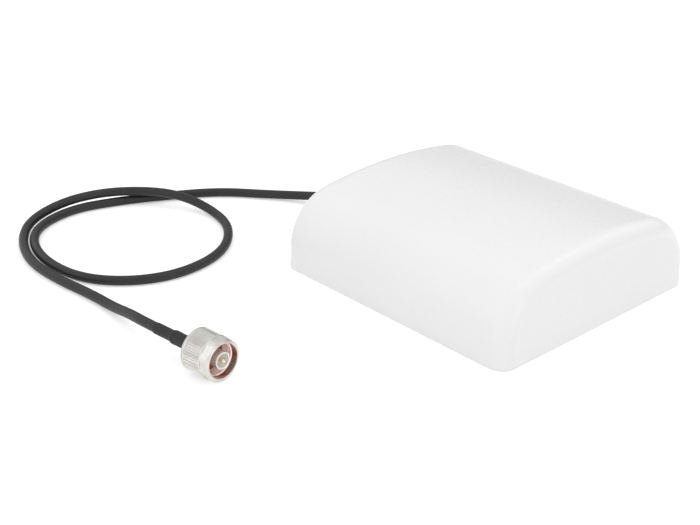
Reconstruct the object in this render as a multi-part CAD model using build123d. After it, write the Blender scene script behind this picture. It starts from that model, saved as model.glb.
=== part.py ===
from build123d import *
from math import atan2, cos, pi, radians, sin, tan
import os

# Directional panel antenna on a coaxial cable that ends in a threaded plug.
# Lengths are in millimetres. The origin is the middle of the back, on the surface that the antenna
# lies on. X runs along the arched face, Z points out of it, and the cable leaves at the -X end.

# Radome: one white moulding, an arch with rounded ends, open at the back
panel_length = 152.0
panel_width = 138.0
panel_height = 44.0
side_wall_height = 12.0
crown_rise = 3.175
corner_radius = 8.5
rim_radius = 0.6
wall = 2.5
draft = radians(1.5)
ledge_width = 1.7
ledge_height = 2.7
pillar_radius = 3.8
pillar_top = 20.0
pillar_end_inset = 12.0
pillar_side_inset = 10.2
web_thickness = 1.6

# Back cover: a moulded plate sunk into the radome's skirt
cover_recess = 0.8
cover_thickness = 2.5
cover_gap = 0.35
gasket_height = 2.0
gasket_gap = 0.2
upstand_thickness = 1.5
upstand_height = 3.2
screw_pad_radius = 5.0
screw_pad_height = 1.5
cover_rib_thickness = 1.6
cover_rib_height = 3.7

# Threaded inserts for the wall bracket, on a square
bracket_spacing = 60.0
insert_bore_radius = 3.0
insert_radius = 4.5
insert_length = 9.0
insert_flange_radius = 5.5
insert_flange_height = 1.2
bracket_boss_radius = 7.0
bracket_boss_cap = 1.5
bracket_pad_radius = 9.0

# Screws: shank radius, head radius and head height
cover_screw_radius = 1.45
cover_screw_length = 12.0
cover_screw_head_radius = 2.8
cover_screw_head_height = 1.8
cover_screw_grip = 1.7
small_screw_radius = 1.2
small_screw_length = 8.0
small_screw_head_radius = 2.3
small_screw_head_height = 1.5
machine_screw_radius = 1.5
machine_screw_head_radius = 2.6
machine_screw_head_height = 1.8
screw_slack = 0.1
drive_radius = 0.9
drive_width = 0.45
drive_depth = 0.9

# Reflector: a folded aluminium tray on four posts of the cover
reflector_height = 15.0
reflector_margin = 17.0
reflector_lip = 6.0
reflector_thickness = 1.0
reflector_bend_radius = 1.5
post_end_inset = 11.0
post_side_inset = 12.0
post_radius = 4.0
reflector_screw_length = 8.0

# Radiating plates on nylon standoffs
driven_length = 62.0
driven_width = 56.0
director_length = 52.0
director_width = 46.0
plate_thickness = 0.8
plate_corner_radius = 2.0
standoff_spacing_x = 44.0
standoff_spacing_y = 36.0
standoff_across_flats = 5.5
driven_share = 8.0 / 17.2
roof_clearance = 4.9
stud_length = 2.8
stud_tip_gap = 0.8
director_screw_length = 5.0
slot_width = 2.0
slot_length = 24.0
slot_span = 20.0
slot_behind_feed = 8.0

# Feed: the cable's inner conductor enters a soldered pin that passes up through the reflector
feed_x = -14.0
feed_pin_radius = 0.65
feed_pin_foot_radius = 1.5
feed_pin_foot_height = 3.4
feed_pin_stand_out = 0.6
feed_strip_length = 0.75
bush_radius = 2.0
bush_flange_radius = 3.2
bush_flange_height = 1.0

# Coaxial cable and its layers
cable_radius = 2.5
braid_radius = 1.8
dielectric_radius = 1.475
conductor_radius = 0.45
cable_height = 11.5
jacket_end_x = -30.0
braid_length = 8.0
strap_length = 6.0
strap_thickness = 0.8
strap_ear_spacing = 12.0
strap_ear_width = 4.0
rivet_radius = 1.2
rivet_head_radius = 2.1
rivet_head_height = 0.8

# Clamp that holds the cable inside the radome
clamp_setback = 10.5
clamp_length = 7.0
clamp_screw_spacing = 16.0
clamp_width = 23.0
clamp_ear_thickness = 1.8
clamp_hump_thickness = 1.8
clamp_grip_gap = 0.05
clamp_split = 0.1

# Rubber grommet in the -X end wall
grommet_neck_radius = 4.0
grommet_flange_radius = 5.5
grommet_flange_thickness = 1.4
grommet_nose_length = 7.5
grommet_nose_radius = 4.3
grommet_tip_radius = 3.3
grommet_slot_count = 3
grommet_slot_width = 0.9
grommet_slot_depth = 0.6
grommet_fit = 0.05
grommet_flange_gap = 0.35

# Plug: s is measured along its axis from the front rim of the nut, positive out of the mouth
plug_x = -3.0
plug_y = -163.0
plug_yaw = radians(5.5)
nut_radius = 10.25
nut_length = 17.2
nut_rear_chamfer = 0.4
collar_length = 5.0
collar_radius = 10.1
collar_flats = 8
collar_across_flats = 19.36
nut_rim_radius = 9.0
nut_front_taper = 2.0
mouth_radius = 8.0
mouth_depth = 3.4
thread_minor_radius = 7.5
thread_length = 7.0
relief_radius = 8.05
nut_rear_wall = 4.2
turning_clearance = 0.07
neck_radius = 5.8
flange_radius = 6.9
flange_thickness = 2.0
flange_front = -10.0
contact_outer_radius = 4.0
contact_inner_radius = 3.5
contact_root_radius = 4.4
contact_front = -0.5
insulator_front = -6.0
insulator_rear = -13.0
pin_radius = 0.82
pin_tip = 0.6
pin_barrel_radius = 1.1
pin_barrel_rear = -12.5
pin_cup_depth = 3.5
pin_cup_gap = 0.02
ring_inner_radius = 5.3
ring_outer_radius = 6.3
ring_width = 0.9
ring_opening = 40.0
ring_clearance = 0.05
plug_gasket_radius = 6.8
plug_gasket_height = 1.4
stub_radius = 1.95
stub_length = 14.3
stub_bore_gap = 0.025
ferrule_radius = 3.1
ferrule_length = 15.1
ferrule_gap = 0.2
crimp_across_flats = 5.9
crimp_front_margin = 3.0
crimp_rear_margin = 2.0
braid_thickness = 0.45
sleeve_thickness = 0.3
sleeve_length = 27.0
sleeve_step = 1.5
straight_lead = 20.5
bend_share = 0.45

# Values that follow from the sizes above
shoulder_radius = (panel_height - side_wall_height - crown_rise) / (1 - sin(draft))
cover_top = cover_recess + cover_thickness
pad_top = cover_top + screw_pad_height
ledge_bottom = cover_top + gasket_height
gasket_inset = wall + gasket_gap
head_seat = pad_top - cover_screw_grip
ledge_inset = wall + ledge_width
upstand_inset = ledge_inset + cover_gap
pillar_x = panel_length / 2 - pillar_end_inset
pillar_y = panel_width / 2 - pillar_side_inset
reflector_length = panel_length - 2 * reflector_margin
reflector_width = panel_width - 2 * reflector_margin
post_spacing_x = reflector_length - 2 * post_end_inset
post_spacing_y = reflector_width - 2 * post_side_inset
reflector_top = reflector_height + reflector_thickness
director_top = panel_height - wall - roof_clearance - machine_screw_head_height
director_height = director_top - plate_thickness
driven_height = reflector_top + driven_share * (
    director_height - plate_thickness - reflector_top
)
driven_top = driven_height + plate_thickness
clamp_x = -panel_length / 2 + clamp_setback
strap_underside = reflector_height - strap_thickness
rest_top = cable_height - clamp_split
clamp_underside = cable_height + clamp_split
end_wall_outer = panel_length / 2 - cable_height * tan(draft)
end_wall_inner = end_wall_outer - wall / cos(draft)
cable_start_x = -(end_wall_outer + end_wall_inner) / 2
ferrule_rear = -nut_length - ferrule_gap - ferrule_length
ring_middle = -nut_length + nut_rear_wall / 2
plug_frame = Plane(
    origin=(plug_x, plug_y, nut_radius),
    x_dir=(-sin(plug_yaw), cos(plug_yaw), 0),
    z_dir=(cos(plug_yaw), sin(plug_yaw), 0),
)


def on_plug_axis(s):
    return (plug_x + s * cos(plug_yaw), plug_y + s * sin(plug_yaw), nut_radius)


# Cable's route on the surface, from the end wall round the loop, over itself and on to the plug
cable_route = [
    (cable_start_x, 0, cable_height),
    (-94, 0, cable_height),
    (-113.5, -2, 8.0),
    (-131, -6, 4.0),
    (-152, -20, cable_radius),
    (-173, -37.5, cable_radius),
    (-188, -63, cable_radius),
    (-201, -90, cable_radius),
    (-208, -115, cable_radius),
    (-200, -141, cable_radius),
    (-181, -155.5, cable_radius),
    (-154, -161.3, cable_radius),
    (-127, -157, cable_radius),
    (-107.5, -139.5, cable_radius),
    (-99, -115, cable_radius),
    (-105.5, -85, cable_radius),
    (-128, -63.5, cable_radius),
    (-154, -56.5, 2.6),
    (-173.5, -64.5, 8.0),
    (-192, -76, 8.1),
    (-206.5, -95, 7.8),
    (-211.5, -118, 6.9),
    (-207, -142, 4.0),
    (-189, -157.5, cable_radius),
    (-163, -167, cable_radius),
    (-136, -167, cable_radius),
    (-110, -163.5, cable_radius),
    (-90, -163.5, 3.2),
    (-72.5, -165.5, 7.2),
    on_plug_axis(ferrule_rear - straight_lead),
    on_plug_axis(ferrule_rear),
]


# Forms that several pieces share

def slab(low, high):
    """A block wider than the antenna between two heights."""
    return Pos(0, 0, low) * Box(
        2 * panel_length, 2 * panel_width, high - low, align=(Align.CENTER, Align.CENTER, Align.MIN)
    )


def dome(inset, bottom=0.0):
    """The radome's outer form with every surface but the open back moved inwards by inset."""
    half_width = panel_width / 2
    centre_y = half_width - side_wall_height * tan(draft) - shoulder_radius * cos(draft)
    centre_z = side_wall_height - shoulder_radius * sin(draft)
    drop = panel_height - centre_z
    crown_radius = (centre_y**2 + drop**2 - shoulder_radius**2) / (2 * (drop - shoulder_radius))
    crown_z = panel_height - crown_radius
    join = atan2(centre_z - crown_z, centre_y)
    middle = (draft + join) / 2
    r = shoulder_radius - inset
    side = (centre_y + r * cos(draft), centre_z + r * sin(draft))
    foot = (side[0] + (side[1] - bottom) * tan(draft), bottom)
    bulge = (centre_y + r * cos(middle), centre_z + r * sin(middle))
    top = (centre_y + r * cos(join), centre_z + r * sin(join))
    crown = (0, panel_height - inset)

    def mirrored(point):
        return (-point[0], point[1])

    outline = (
        Line(foot, side)
        + ThreePointArc(side, bulge, top)
        + ThreePointArc(top, crown, mirrored(top))
        + ThreePointArc(mirrored(top), mirrored(bulge), mirrored(side))
        + Line(mirrored(side), mirrored(foot))
        + Line(mirrored(foot), foot)
    )
    arch = extrude(Plane.YZ * make_face(outline), amount=panel_length, both=True)
    end_foot = panel_length / 2 - inset / cos(draft) - bottom * tan(draft)
    end_top = end_foot - (panel_height + wall - bottom) * tan(draft)
    ends = Polyline(
        (-end_foot, bottom),
        (end_foot, bottom),
        (end_top, panel_height + wall),
        (-end_top, panel_height + wall),
        close=True,
    )
    body = arch & extrude(Plane.XZ * make_face(ends), amount=panel_width, both=True)
    rims = [
        edge
        for face in body.faces()
        if abs(face.normal_at().X) > 0.9
        for edge in face.edges()
        if edge.bounding_box().max.Z > bottom + 0.01
    ]
    return fillet(rims, corner_radius - inset)


def layer(inset, low, high):
    """A slice of the inset dome between two heights."""
    return dome(inset, low) & slab(low, high)


def ring_layer(outer_inset, inner_inset, low, high):
    """A band that runs round inside the skirt between two insets and two heights."""
    return layer(outer_inset, low, high) - dome(inner_inset, low - 1)


def upright(x, y, low, high, radius):
    """A round bar between two heights."""
    return Pos(x, y, low) * Cylinder(
        radius, high - low, align=(Align.CENTER, Align.CENTER, Align.MIN)
    )


def lengthwise(x_from, x_to, radius, y=0.0, z=cable_height):
    """A round bar along X."""
    return Pos(x_from, y, z) * Rot(0, 90, 0) * Cylinder(
        radius, x_to - x_from, align=(Align.CENTER, Align.CENTER, Align.MIN)
    )


def turned(*points):
    """A solid turned from a half section of (radius, distance along the axis) points."""
    return revolve(make_face(Plane.XZ * Polyline(*points, close=True)), axis=Axis.Z)


def tube(inner, outer, low, high):
    """A plain tube on the Z axis."""
    return turned((inner, low), (outer, low), (outer, high), (inner, high))


def pan_screw(shank, length, head, head_height):
    """A pan-head screw with a cross drive. Its head sits on z = 0 and its shank points down."""
    drive = Box(2 * drive_radius, drive_width, drive_depth)
    drive += Box(drive_width, 2 * drive_radius, drive_depth)
    dish = head_height / 2
    body = turned(
        (0, -length),
        (shank / 2, -length),
        (shank, -length + shank),
        (shank, 0),
        (head, 0),
        (head, head_height - dish),
        (head - dish, head_height),
        (0, head_height),
    )
    return body - Pos(0, 0, head_height - drive_depth / 2) * drive


def grid(half_x, half_y):
    """Four points on a rectangle about the origin."""
    return [(x, y) for x in (-half_x, half_x) for y in (-half_y, half_y)]


def group(solids):
    return Compound(list(solids))


# Places of the repeated fixings
cover_screw_points = [(x, y) for x in (-pillar_x, 0, pillar_x) for y in (-pillar_y, pillar_y)]
bracket_points = grid(bracket_spacing / 2, bracket_spacing / 2)
post_points = grid(post_spacing_x / 2, post_spacing_y / 2)
standoff_points = grid(standoff_spacing_x / 2, standoff_spacing_y / 2)
clamp_screw_points = [(clamp_x, -clamp_screw_spacing / 2), (clamp_x, clamp_screw_spacing / 2)]
strap_x = jacket_end_x + braid_length / 2
rivet_points = [(strap_x, -strap_ear_spacing / 2), (strap_x, strap_ear_spacing / 2)]


# Housing

def radome():
    outside = dome(0)
    rim = outside.faces().sort_by(Axis.Z)[0].edges()
    shell = fillet(rim, rim_radius) - dome(wall, -1)
    shell += ring_layer(wall / 2, ledge_inset, ledge_bottom, ledge_bottom + ledge_height)
    inside = dome(wall / 2)
    for x, y in cover_screw_points:
        outwards = 1 if y > 0 else -1
        web = Pos(x, y + outwards * pillar_side_inset / 2, ledge_bottom + ledge_height) * Box(
            web_thickness,
            pillar_side_inset,
            pillar_top - ledge_bottom - ledge_height,
            align=(Align.CENTER, Align.CENTER, Align.MIN),
        )
        shell += (upright(x, y, pad_top, pillar_top, pillar_radius) + web) & inside
    for x, y in cover_screw_points:
        shell -= upright(
            x, y, pad_top, pad_top + cover_screw_length, cover_screw_radius + screw_slack / 2
        )
    shell -= lengthwise(-panel_length, -end_wall_inner + wall / 2, grommet_neck_radius + grommet_fit)
    flange_room = lengthwise(
        -end_wall_inner, -end_wall_inner + 2 * wall, grommet_flange_radius + grommet_flange_gap
    )
    return shell - (flange_room & dome(wall))


def back_cover():
    cover = layer(wall + cover_gap, cover_recess, cover_top)
    cover += ring_layer(
        upstand_inset, upstand_inset + upstand_thickness, cover_top, cover_top + upstand_height
    )
    for x, y in cover_screw_points:
        cover += upright(x, y, cover_top, pad_top, screw_pad_radius)
    for offset in (-bracket_spacing / 2, bracket_spacing / 2):
        cover += Pos(0, offset, cover_top + cover_rib_height / 2) * Box(
            post_spacing_x, cover_rib_thickness, cover_rib_height
        )
        cover += Pos(offset, 0, cover_top + cover_rib_height / 2) * Box(
            cover_rib_thickness, post_spacing_y, cover_rib_height
        )
    boss_top = insert_length + bracket_boss_cap
    for x, y in bracket_points:
        cover += upright(x, y, 0, cover_top, bracket_pad_radius)
        cover += upright(x, y, cover_top, boss_top, bracket_boss_radius)
        cover -= upright(x, y, 0, insert_length, insert_radius)
        cover -= upright(x, y, 0, insert_flange_height, insert_flange_radius)
    for x, y in post_points:
        cover += upright(x, y, cover_top, reflector_height, post_radius)
        cover -= upright(
            x, y, reflector_height - reflector_screw_length, reflector_height,
            cover_screw_radius + screw_slack / 2,
        )
    cover += Pos(clamp_x, 0, (cover_top + rest_top) / 2) * Box(
        clamp_length, clamp_width, rest_top - cover_top
    )
    cover -= lengthwise(
        clamp_x - clamp_length, clamp_x + clamp_length, cable_radius + clamp_grip_gap
    )
    for x, y in clamp_screw_points:
        cover -= upright(
            x, y, rest_top - small_screw_length, rest_top, small_screw_radius + screw_slack / 2
        )
    for x, y in cover_screw_points:
        cover -= upright(x, y, 0, head_seat, cover_screw_head_radius + 2 * screw_slack)
        cover -= upright(x, y, 0, pad_top, cover_screw_radius + 2 * screw_slack)
    return cover


def cover_gasket():
    return ring_layer(gasket_inset, ledge_inset, cover_top, ledge_bottom)


def cover_screws():
    screw = Rot(180, 0, 0) * pan_screw(
        cover_screw_radius, cover_screw_length, cover_screw_head_radius, cover_screw_head_height
    )
    return group(Pos(x, y, head_seat) * screw for x, y in cover_screw_points)


def bracket_inserts():
    insert = turned(
        (insert_bore_radius, 0),
        (insert_flange_radius, 0),
        (insert_flange_radius, insert_flange_height),
        (insert_radius, insert_flange_height),
        (insert_radius, insert_length),
        (insert_bore_radius, insert_length),
    )
    return group(Pos(x, y, 0) * insert for x, y in bracket_points)


# Antenna inside

def reflector():
    half = reflector_width / 2
    fold = FilletPolyline(
        (-half, reflector_height + reflector_lip),
        (-half, reflector_height),
        (half, reflector_height),
        (half, reflector_height + reflector_lip),
        radius=reflector_bend_radius,
    )
    tray = make_brake_formed(reflector_thickness, reflector_length, fold)
    tray = Plane.YZ.offset(-reflector_length / 2) * tray
    holes = [(x, y, cover_screw_radius + screw_slack) for x, y in post_points]
    holes += [(x, y, machine_screw_radius + screw_slack) for x, y in standoff_points]
    holes += [(x, y, rivet_radius) for x, y in rivet_points]
    holes.append((feed_x, 0, bush_radius))
    for x, y, radius in holes:
        tray -= upright(x, y, reflector_height, reflector_top, radius)
    return tray


def plain_plate(length, width, height):
    outline = RectangleRounded(length, width, plate_corner_radius)
    sheet = Pos(0, 0, height) * extrude(outline, amount=plate_thickness)
    for x, y in standoff_points:
        sheet -= upright(
            x, y, height, height + plate_thickness, machine_screw_radius + screw_slack
        )
    return sheet


def driven_patch():
    sheet = plain_plate(driven_length, driven_width, driven_height)
    half = slot_span / 2
    bend = feed_x - slot_behind_feed
    course = Polyline(
        (bend + slot_length, half), (bend, half), (bend, -half), (bend + slot_length, -half)
    )
    slot = extrude(trace(course, line_width=slot_width), amount=plate_thickness)
    sheet -= Pos(0, 0, driven_height) * slot
    return sheet - upright(feed_x, 0, driven_height, driven_top, feed_pin_radius)


def director_patch():
    return plain_plate(director_length, director_width, director_height)


def hexagon_bar(across_flats, low, high):
    outline = RegularPolygon(across_flats / 2, 6, major_radius=False)
    return Pos(0, 0, low) * extrude(outline, amount=high - low)


def lower_standoffs():
    bar = hexagon_bar(standoff_across_flats, reflector_top, driven_height)
    bar -= upright(0, 0, reflector_top, driven_height, machine_screw_radius + screw_slack / 2)
    return group(Pos(x, y, 0) * bar for x, y in standoff_points)


def upper_standoffs():
    bar = hexagon_bar(standoff_across_flats, driven_top, director_height)
    bar -= upright(
        0, 0, director_height - director_screw_length, director_height,
        machine_screw_radius + screw_slack / 2,
    )
    bar += upright(0, 0, driven_top - stud_length, driven_top, machine_screw_radius)
    return group(Pos(x, y, 0) * bar for x, y in standoff_points)


def standoff_screws():
    reach = driven_top - stud_length - stud_tip_gap - reflector_height
    screw = Rot(180, 0, 0) * pan_screw(
        machine_screw_radius, reach, machine_screw_head_radius, machine_screw_head_height
    )
    return group(Pos(x, y, reflector_height) * screw for x, y in standoff_points)


def director_screws():
    screw = pan_screw(
        machine_screw_radius,
        director_screw_length,
        machine_screw_head_radius,
        machine_screw_head_height,
    )
    return group(Pos(x, y, director_top) * screw for x, y in standoff_points)


def reflector_screws():
    screw = pan_screw(
        cover_screw_radius,
        reflector_screw_length,
        cover_screw_head_radius,
        cover_screw_head_height,
    )
    return group(Pos(x, y, reflector_top) * screw for x, y in post_points)


def feed_bush():
    return Pos(feed_x, 0, 0) * turned(
        (feed_pin_radius, reflector_height),
        (bush_radius, reflector_height),
        (bush_radius, reflector_top),
        (bush_flange_radius, reflector_top),
        (bush_flange_radius, reflector_top + bush_flange_height),
        (feed_pin_radius, reflector_top + bush_flange_height),
    )


def feed_pin():
    foot_low = cable_height - feed_pin_foot_height / 2
    foot_high = cable_height + feed_pin_foot_height / 2
    pin = turned(
        (0, foot_low),
        (feed_pin_foot_radius, foot_low),
        (feed_pin_foot_radius, foot_high),
        (feed_pin_radius, foot_high),
        (feed_pin_radius, driven_top + feed_pin_stand_out),
        (0, driven_top + feed_pin_stand_out),
    )
    return Pos(feed_x, 0, 0) * pin - lengthwise(
        feed_x - 2 * feed_pin_foot_radius, feed_x, conductor_radius
    )


def ground_strap():
    outer = braid_radius + strap_thickness
    ear_half = strap_ear_spacing / 2 + strap_ear_width / 2
    ears = Pos(0, 0, strap_underside) * Box(
        strap_length, 2 * ear_half, strap_thickness, align=(Align.CENTER, Align.CENTER, Align.MIN)
    )
    cheeks = Pos(0, 0, cable_height) * Box(
        strap_length, 2 * outer, reflector_height - cable_height,
        align=(Align.CENTER, Align.CENTER, Align.MIN),
    )
    hollow = Pos(0, 0, cable_height) * Box(
        strap_length, 2 * braid_radius, reflector_height - cable_height,
        align=(Align.CENTER, Align.CENTER, Align.MIN),
    )
    half = strap_length / 2
    strap = ears + cheeks + lengthwise(-half, half, outer)
    strap -= hollow + lengthwise(-half, half, braid_radius)
    for x, y in rivet_points:
        strap -= upright(0, y, strap_underside, reflector_height, rivet_radius)
    return Pos(strap_x, 0, 0) * strap


def strap_rivets():
    rivet = turned(
        (0, strap_underside - rivet_head_height),
        (rivet_head_radius, strap_underside - rivet_head_height),
        (rivet_head_radius, strap_underside),
        (rivet_radius, strap_underside),
        (rivet_radius, reflector_top),
        (rivet_head_radius, reflector_top),
        (rivet_head_radius, reflector_top + rivet_head_height),
        (0, reflector_top + rivet_head_height),
    )
    return group(Pos(x, y, 0) * rivet for x, y in rivet_points)


# Cable entry

def cable_clamp():
    ears = Pos(clamp_x, 0, clamp_underside) * Box(
        clamp_length, clamp_width, clamp_ear_thickness,
        align=(Align.CENTER, Align.CENTER, Align.MIN),
    )
    grip = cable_radius + clamp_grip_gap
    start = clamp_x - clamp_length / 2
    hump = lengthwise(start, start + clamp_length, grip + clamp_hump_thickness)
    clamp = ears + (hump & slab(clamp_underside, panel_height))
    clamp -= lengthwise(start, start + clamp_length, grip)
    for x, y in clamp_screw_points:
        clamp -= upright(
            x, y, clamp_underside, clamp_underside + clamp_ear_thickness,
            small_screw_radius + screw_slack,
        )
    return clamp


def cable_clamp_screws():
    screw = pan_screw(
        small_screw_radius, small_screw_length, small_screw_head_radius, small_screw_head_height
    )
    seat = clamp_underside + clamp_ear_thickness
    return group(Pos(x, y, seat) * screw for x, y in clamp_screw_points)


def cable_grommet():
    lean = grommet_flange_radius * tan(draft) + grommet_fit
    outer_seat = end_wall_outer + lean
    inner_seat = end_wall_inner - lean
    nose_start = outer_seat + grommet_flange_thickness
    profile = [
        (cable_radius, inner_seat - grommet_flange_thickness),
        (grommet_flange_radius, inner_seat - grommet_flange_thickness),
        (grommet_flange_radius, inner_seat),
        (grommet_neck_radius, inner_seat),
        (grommet_neck_radius, outer_seat),
        (grommet_flange_radius, outer_seat),
        (grommet_flange_radius, nose_start),
        (grommet_nose_radius, nose_start),
        (grommet_tip_radius, nose_start + grommet_nose_length),
        (cable_radius, nose_start + grommet_nose_length),
    ]
    grommet = turned(*profile)
    pitch = grommet_nose_length / (grommet_slot_count + 1)
    for i in range(grommet_slot_count):
        middle = nose_start + pitch * (i + 1)
        share = (middle - nose_start) / grommet_nose_length
        floor = grommet_nose_radius + share * (grommet_tip_radius - grommet_nose_radius)
        grommet -= tube(
            floor - grommet_slot_depth,
            grommet_flange_radius,
            middle - grommet_slot_width / 2,
            middle + grommet_slot_width / 2,
        )
    return Pos(0, 0, cable_height) * Rot(0, -90, 0) * grommet


def inner_cable():
    return lengthwise(cable_start_x, jacket_end_x, cable_radius)


def layer_tube(x_from, x_to, inner, outer):
    return lengthwise(x_from, x_to, outer) - lengthwise(x_from, x_to, inner)


def feed_braid():
    return layer_tube(jacket_end_x, jacket_end_x + braid_length, dielectric_radius, braid_radius)


def feed_dielectric():
    end = feed_x - feed_pin_foot_radius - feed_strip_length
    return layer_tube(jacket_end_x, end, conductor_radius, dielectric_radius)


def feed_conductor():
    return lengthwise(jacket_end_x, feed_x, conductor_radius)


def cable():
    radii = []
    for before, point, after in zip(cable_route, cable_route[1:], cable_route[2:]):
        arriving = Vector(*point) - Vector(*before)
        leaving = Vector(*after) - Vector(*point)
        turn = radians(arriving.get_angle(leaving))
        radii.append(bend_share * min(arriving.length, leaving.length) / tan(turn / 2))
    path = FilletPolyline(*cable_route, radius=radii)
    cord = sweep(path.location_at(0) * Circle(cable_radius), path=path)
    section = pi * cable_radius**2
    print("cable radii", [round(r) for r in radii], "smallest", round(min(radii), 1))
    print("cable length", round(path.length, 1), "volume over section times length",
          round(cord.volume / (section * path.length), 5))
    return cord


# Plug, built on the Z axis with its front rim at z = 0 and set down by plug_frame

def coupling_nut():
    rear = -nut_length
    bore = neck_radius + turning_clearance
    wall_front = rear + nut_rear_wall
    groove = ring_outer_radius + ring_clearance
    half_groove = ring_width / 2 + ring_clearance
    thread_start = -mouth_depth
    lead = mouth_radius - thread_minor_radius
    thread_end = thread_start - thread_length
    shape = turned(
        (bore, rear),
        (nut_radius - nut_rear_chamfer, rear),
        (nut_radius, rear + nut_rear_chamfer),
        (nut_radius, -collar_length),
        (collar_radius, -collar_length),
        (collar_radius, -nut_front_taper),
        (nut_rim_radius, 0),
        (mouth_radius, 0),
        (mouth_radius, thread_start),
        (thread_minor_radius, thread_start - lead),
        (thread_minor_radius, thread_end),
        (relief_radius, thread_end),
        (relief_radius, wall_front),
        (bore, wall_front),
        (bore, ring_middle + half_groove),
        (groove, ring_middle + half_groove),
        (groove, ring_middle - half_groove),
        (bore, ring_middle - half_groove),
    )
    half_flat = collar_across_flats / 2
    cutter_depth = collar_radius
    cutter = Pos(half_flat + cutter_depth / 2, 0, -collar_length / 2) * Box(
        cutter_depth, 2 * collar_radius, collar_length
    )
    for i in range(collar_flats):
        shape -= Rot(0, 0, i * 360 / collar_flats) * cutter
    return plug_frame * shape


def plug_body():
    stub_rear = -nut_length - stub_length
    groove = ring_inner_radius - ring_clearance
    half_groove = ring_width / 2 + ring_clearance
    flange_rear = flange_front - flange_thickness
    bore = dielectric_radius + stub_bore_gap
    return plug_frame * turned(
        (bore, stub_rear),
        (stub_radius, stub_rear),
        (stub_radius, -nut_length),
        (neck_radius, -nut_length),
        (neck_radius, ring_middle - half_groove),
        (groove, ring_middle - half_groove),
        (groove, ring_middle + half_groove),
        (neck_radius, ring_middle + half_groove),
        (neck_radius, flange_rear),
        (flange_radius, flange_rear),
        (flange_radius, flange_front),
        (contact_root_radius, flange_front),
        (contact_root_radius, flange_front + plug_gasket_height),
        (contact_outer_radius, flange_front + plug_gasket_height),
        (contact_outer_radius, contact_front),
        (contact_inner_radius, contact_front),
        (contact_inner_radius, insulator_rear),
        (bore, insulator_rear),
    )


def retaining_ring():
    ring = tube(
        ring_inner_radius,
        ring_outer_radius,
        ring_middle - ring_width / 2,
        ring_middle + ring_width / 2,
    )
    opening = 2 * ring_outer_radius * sin(radians(ring_opening / 2))
    gap = Pos(ring_outer_radius / 2, 0, ring_middle) * Box(
        ring_outer_radius, opening, 2 * ring_width
    )
    return plug_frame * (ring - gap)


def plug_gasket():
    return plug_frame * tube(
        contact_root_radius, plug_gasket_radius, flange_front, flange_front + plug_gasket_height
    )


def plug_insulator():
    return plug_frame * tube(
        pin_barrel_radius, contact_inner_radius, insulator_rear, insulator_front
    )


def centre_pin():
    cup = conductor_radius + pin_cup_gap
    return plug_frame * turned(
        (cup, pin_barrel_rear),
        (pin_barrel_radius, pin_barrel_rear),
        (pin_barrel_radius, insulator_front),
        (pin_radius, insulator_front + pin_barrel_radius - pin_radius),
        (pin_radius, pin_tip - pin_radius),
        (pin_radius / 2, pin_tip),
        (0, pin_tip),
        (0, pin_barrel_rear + pin_cup_depth),
        (cup, pin_barrel_rear + pin_cup_depth),
    )


def cable_end_braid():
    return plug_frame * tube(
        stub_radius, stub_radius + braid_thickness, ferrule_rear, -nut_length - ferrule_gap
    )


def cable_end_dielectric():
    return plug_frame * tube(
        conductor_radius, dielectric_radius, ferrule_rear, insulator_rear - stub_bore_gap
    )


def cable_end_conductor():
    tip = pin_barrel_rear + pin_cup_depth - stub_bore_gap
    return plug_frame * turned(
        (0, ferrule_rear), (conductor_radius, ferrule_rear), (conductor_radius, tip), (0, tip)
    )


def crimp_ferrule():
    inner = stub_radius + braid_thickness
    front = ferrule_rear + ferrule_length
    body = tube(inner, ferrule_radius, ferrule_rear, front)
    crimped = tube(
        inner, 2 * ferrule_radius, ferrule_rear + crimp_rear_margin, front - crimp_front_margin
    )
    crimped -= hexagon_bar(crimp_across_flats, ferrule_rear, front)
    return plug_frame * (body - crimped)


def heat_shrink_sleeve():
    front = -nut_length - ferrule_gap - sleeve_thickness
    rear = front - sleeve_length
    over_ferrule = ferrule_rear
    behind = over_ferrule - sleeve_step
    return plug_frame * turned(
        (cable_radius, rear),
        (cable_radius + sleeve_thickness, rear),
        (cable_radius + sleeve_thickness, behind),
        (ferrule_radius + sleeve_thickness, over_ferrule),
        (ferrule_radius + sleeve_thickness, front),
        (ferrule_radius, front),
        (ferrule_radius, over_ferrule),
        (cable_radius, behind),
    )


pieces = {
    "radome": radome,
    "back_cover": back_cover,
    "cover_gasket": cover_gasket,
    "cover_screws": cover_screws,
    "bracket_inserts": bracket_inserts,
    "reflector": reflector,
    "reflector_screws": reflector_screws,
    "lower_standoffs": lower_standoffs,
    "standoff_screws": standoff_screws,
    "driven_patch": driven_patch,
    "upper_standoffs": upper_standoffs,
    "director_patch": director_patch,
    "director_screws": director_screws,
    "feed_bush": feed_bush,
    "feed_pin": feed_pin,
    "ground_strap": ground_strap,
    "strap_rivets": strap_rivets,
    "cable_clamp": cable_clamp,
    "cable_clamp_screws": cable_clamp_screws,
    "cable_grommet": cable_grommet,
    "inner_cable": inner_cable,
    "feed_braid": feed_braid,
    "feed_dielectric": feed_dielectric,
    "feed_conductor": feed_conductor,
    "cable": cable,
    "cable_end_braid": cable_end_braid,
    "cable_end_dielectric": cable_end_dielectric,
    "cable_end_conductor": cable_end_conductor,
    "crimp_ferrule": crimp_ferrule,
    "heat_shrink_sleeve": heat_shrink_sleeve,
    "plug_body": plug_body,
    "plug_insulator": plug_insulator,
    "centre_pin": centre_pin,
    "retaining_ring": retaining_ring,
    "plug_gasket": plug_gasket,
    "coupling_nut": coupling_nut,
}

os.makedirs("parts", exist_ok=True)
for name, make in pieces.items():
    export_step(make(), f"parts/{name}.step")
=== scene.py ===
import math

import bpy
from mathutils import Matrix, Vector, noise


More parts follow.
